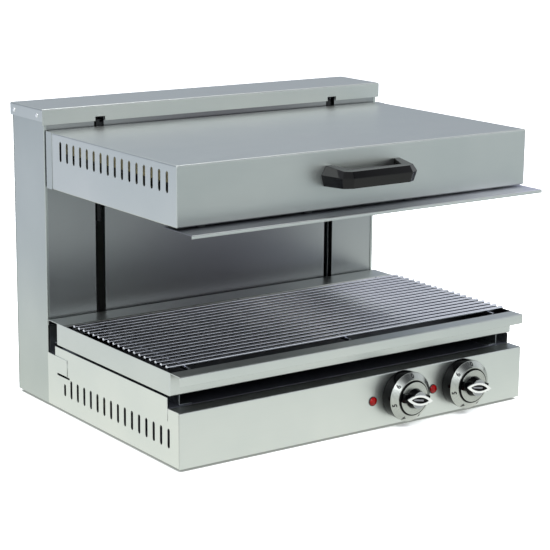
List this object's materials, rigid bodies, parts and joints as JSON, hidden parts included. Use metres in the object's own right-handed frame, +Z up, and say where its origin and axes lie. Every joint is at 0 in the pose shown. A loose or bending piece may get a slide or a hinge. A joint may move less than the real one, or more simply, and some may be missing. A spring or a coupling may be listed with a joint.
{
  "type": "cheese melter",
  "caption": "Countertop cheese melter: stainless base with knobs, drip tray and wire grid, and a hood with heating tubes that slides up and down a rear column.",
  "frame": {"origin": "on the floor under the middle of the whole machine", "axes": "+X to the right as the user faces it, +Y from the user towards the column, +Z up"},
  "size_m": [0.6084, 0.508, 0.437],
  "materials": {
    "stainless": "satin brushed stainless sheet",
    "zinc_steel": "zinc-plated sheet",
    "bright_steel": "bright steel",
    "spring_paint": "satin black paint",
    "reflector_steel": "bright aluminised sheet",
    "heater_sheath": "oxidised metal sheath",
    "mineral_wool": "matte fibre slab",
    "black_plastic": "glossy black",
    "cream_plastic": "matte cream",
    "nylon": "matte natural nylon",
    "rubber": "matte",
    "red_lens": "clear red lens",
    "silver_trim": "satin silver"
  },
  "bodies": {
    "stand": {"base_shell": "stainless", "control_panel": "stainless", "base_cover": "zinc_steel", "joint_plates": "stainless", "rubber_feet": "rubber", "tray_runner_left": "zinc_steel", "tray_runner_right": "zinc_steel", "column_side_left": "stainless", "column_side_right": "stainless", "splash_back": "stainless", "rear_cover": "stainless", "rear_cover_screws": "bright_steel", "top_cap": "stainless", "cap_rivets": "bright_steel", "guide_rail_left": "zinc_steel", "guide_rail_right": "zinc_steel", "rail_bracket": "zinc_steel", "spring_cylinder_left": "spring_paint", "spring_cylinder_right": "spring_paint", "regulator_left": "cream_plastic", "regulator_right": "cream_plastic", "pilot_body_left": "black_plastic", "pilot_body_right": "black_plastic", "pilot_lens_left": "red_lens", "pilot_lens_right": "red_lens", "terminal_block": "cream_plastic", "cable_gland": "black_plastic"},
    "hood": {"hood_shell": "stainless", "hood_rear_panel": "stainless", "reflector": "reflector_steel", "insulation_slab": "mineral_wool", "element_left": "heater_sheath", "element_right": "heater_sheath", "element_brackets": "bright_steel", "visor": "stainless", "visor_screws": "bright_steel", "handle": "black_plastic", "handle_screws": "bright_steel", "lift_carriage": "zinc_steel", "carriage_bolts": "bright_steel", "spring_rod_left": "bright_steel", "spring_rod_right": "bright_steel"},
    "roller_upper_left_body": {"roller_upper_left": "nylon"},
    "roller_upper_right_body": {"roller_upper_right": "nylon"},
    "roller_lower_left_body": {"roller_lower_left": "nylon"},
    "roller_lower_right_body": {"roller_lower_right": "nylon"},
    "knob_l": {"knob_left": "black_plastic", "dial_left": "silver_trim", "knob_disc_left": "silver_trim", "knob_cap_left": "silver_trim", "spindle_left": "bright_steel"},
    "knob_r": {"knob_right": "black_plastic", "dial_right": "silver_trim", "knob_disc_right": "silver_trim", "knob_cap_right": "silver_trim", "spindle_right": "bright_steel"},
    "tray": {"drip_tray": "stainless", "grid_ledges": "zinc_steel"},
    "grid": {"grill_grid": "bright_steel"}
  },
  "joints": [
    {"name": "hood_lift", "type": "slide", "parent": "stand", "child": "hood", "axis": [0, 0, 1], "range_m": [-0.16, 0]},
    {"name": "roller_upper_left_spin", "type": "hinge", "parent": "hood", "child": "roller_upper_left_body", "pos_m": [-0.234, 0.183, 0.397], "axis": [1, 0, 0], "range_deg": [-765, 1]},
    {"name": "roller_upper_right_spin", "type": "hinge", "parent": "hood", "child": "roller_upper_right_body", "pos_m": [0.234, 0.183, 0.397], "axis": [1, 0, 0], "range_deg": [-765, 1]},
    {"name": "roller_lower_left_spin", "type": "hinge", "parent": "hood", "child": "roller_lower_left_body", "pos_m": [-0.234, 0.183, 0.283], "axis": [1, 0, 0], "range_deg": [-1, 765]},
    {"name": "roller_lower_right_spin", "type": "hinge", "parent": "hood", "child": "roller_lower_right_body", "pos_m": [0.234, 0.183, 0.283], "axis": [1, 0, 0], "range_deg": [-1, 765]},
    {"name": "knob_l_turn", "type": "hinge", "parent": "stand", "child": "knob_l", "pos_m": [0.073, -0.212, 0.0465], "axis": [0, -1, 0], "range_deg": [0, 308.6]},
    {"name": "knob_r_turn", "type": "hinge", "parent": "stand", "child": "knob_r", "pos_m": [0.183, -0.212, 0.0465], "axis": [0, -1, 0], "range_deg": [0, 308.6]},
    {"name": "tray_slide", "type": "slide", "parent": "stand", "child": "tray", "axis": [0, -1, 0], "range_m": [0, 0.22]},
    {"name": "grid_lift", "type": "slide", "parent": "tray", "child": "grid", "axis": [0, 0, 1], "range_m": [0, 0.015]}
  ],
  "couplings": [
    {"joint": "roller_upper_left_spin", "follows": "hood_lift", "rad_per_m": 83.333},
    {"joint": "roller_upper_right_spin", "follows": "hood_lift", "rad_per_m": 83.333},
    {"joint": "roller_lower_left_spin", "follows": "hood_lift", "rad_per_m": -83.333},
    {"joint": "roller_lower_right_spin", "follows": "hood_lift", "rad_per_m": -83.333}
  ]
}
